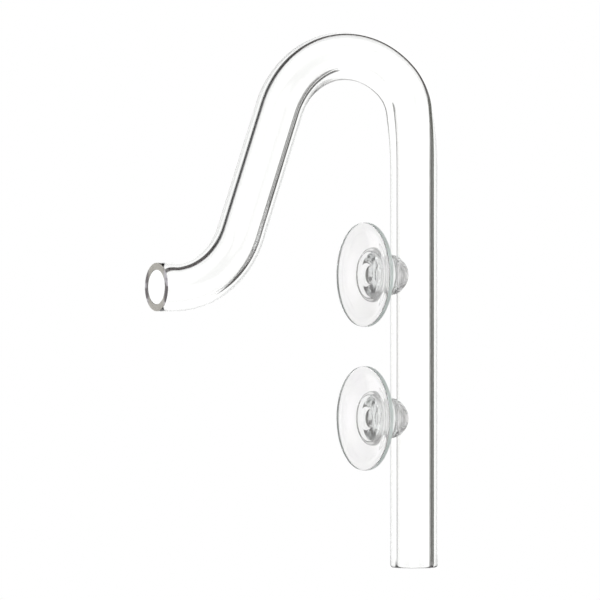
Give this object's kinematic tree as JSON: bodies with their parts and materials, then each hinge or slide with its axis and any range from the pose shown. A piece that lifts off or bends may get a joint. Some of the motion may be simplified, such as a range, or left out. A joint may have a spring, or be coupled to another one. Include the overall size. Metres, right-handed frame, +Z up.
{
  "type": "aquarium outlet pipe",
  "caption": "Clear glass outlet pipe with an s-shaped bend that hangs over a tank wall, held to the glass by soft clear double-sided suction cups.",
  "frame": {"origin": "on the outer face of the tank's pane, in the pipe's plane of symmetry, midway in height between the two suction cups", "axes": "+Z up along the straight outer leg, +X out of the tank, square to the pane, so the outlet points along -X; the pipe's bends all lie in the plane Y = 0"},
  "size_m": [0.087, 0.0286, 0.1463],
  "materials": {
    "borosilicate_glass": "clear drawn tube, fire-polished at the hose end and ground flat at the outlet",
    "soft_clear_pvc": "clear, soft and glossy, with a faint green tint at its edges"
  },
  "bodies": {
    "pipe": {"glass_pipe": "borosilicate_glass"},
    "upper_cup": {"upper_suction_cup": "soft_clear_pvc"},
    "lower_cup": {"lower_suction_cup": "soft_clear_pvc"}
  },
  "joints": [
    {"name": "upper_cup_slide", "type": "slide", "parent": "pipe", "child": "upper_cup", "axis": [0, 0, 1], "range_m": [-0.005, 0.022]},
    {"name": "lower_cup_slide", "type": "slide", "parent": "pipe", "child": "lower_cup", "axis": [0, 0, 1], "range_m": [-0.022, 0.005]}
  ]
}
